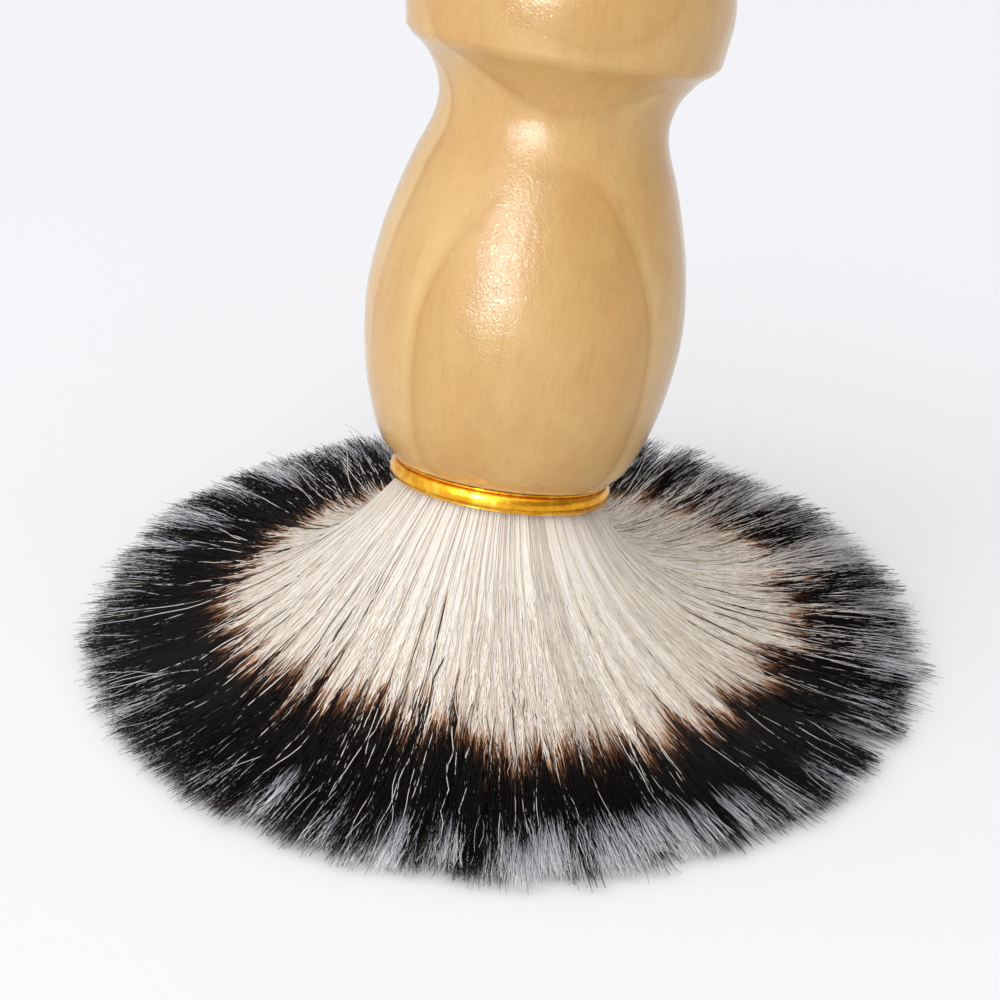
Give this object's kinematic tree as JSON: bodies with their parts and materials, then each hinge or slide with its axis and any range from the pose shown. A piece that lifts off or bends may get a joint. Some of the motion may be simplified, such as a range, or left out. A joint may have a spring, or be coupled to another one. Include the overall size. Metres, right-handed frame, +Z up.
{
  "type": "fade brush",
  "caption": "Small barber's brush with a turned wooden handle, a thin gold ring and a dense knot of banded hair pressed out into a flat round fan.",
  "frame": {"origin": "middle of the round fan of hair, on the surface that it is pressed against", "axes": "+Z up from that surface, the handle leans back towards +Y and a little towards +X, and -Y is the front of the picture's view"},
  "size_m": [0.0918, 0.0918, 0.081],
  "materials": {
    "lacquered_wood": "satin clear lacquer",
    "gold_metal": "polished gold anodised",
    "hair": "soft crimped fibre, white with a brown and black band",
    "resin": "cast, clear amber",
    "glue": "set epoxy",
    "thread": "twisted cotton"
  },
  "bodies": {
    "root": {"handle": "lacquered_wood", "ferrule_ring": "gold_metal", "glue_layer": "glue", "knot_plug": "resin", "binding_thread": "thread", "hair_core": "hair", "hair_lock_01": "hair", "hair_lock_02": "hair", "hair_lock_03": "hair", "hair_lock_04": "hair", "hair_lock_05": "hair", "hair_lock_06": "hair", "hair_lock_07": "hair", "hair_lock_08": "hair", "hair_lock_09": "hair", "hair_lock_10": "hair", "hair_lock_11": "hair", "hair_lock_12": "hair", "hair_lock_13": "hair", "hair_lock_14": "hair", "hair_lock_15": "hair", "hair_lock_16": "hair", "hair_lock_17": "hair", "hair_lock_18": "hair", "hair_lock_19": "hair", "hair_lock_20": "hair"}
  },
  "joints": []
}
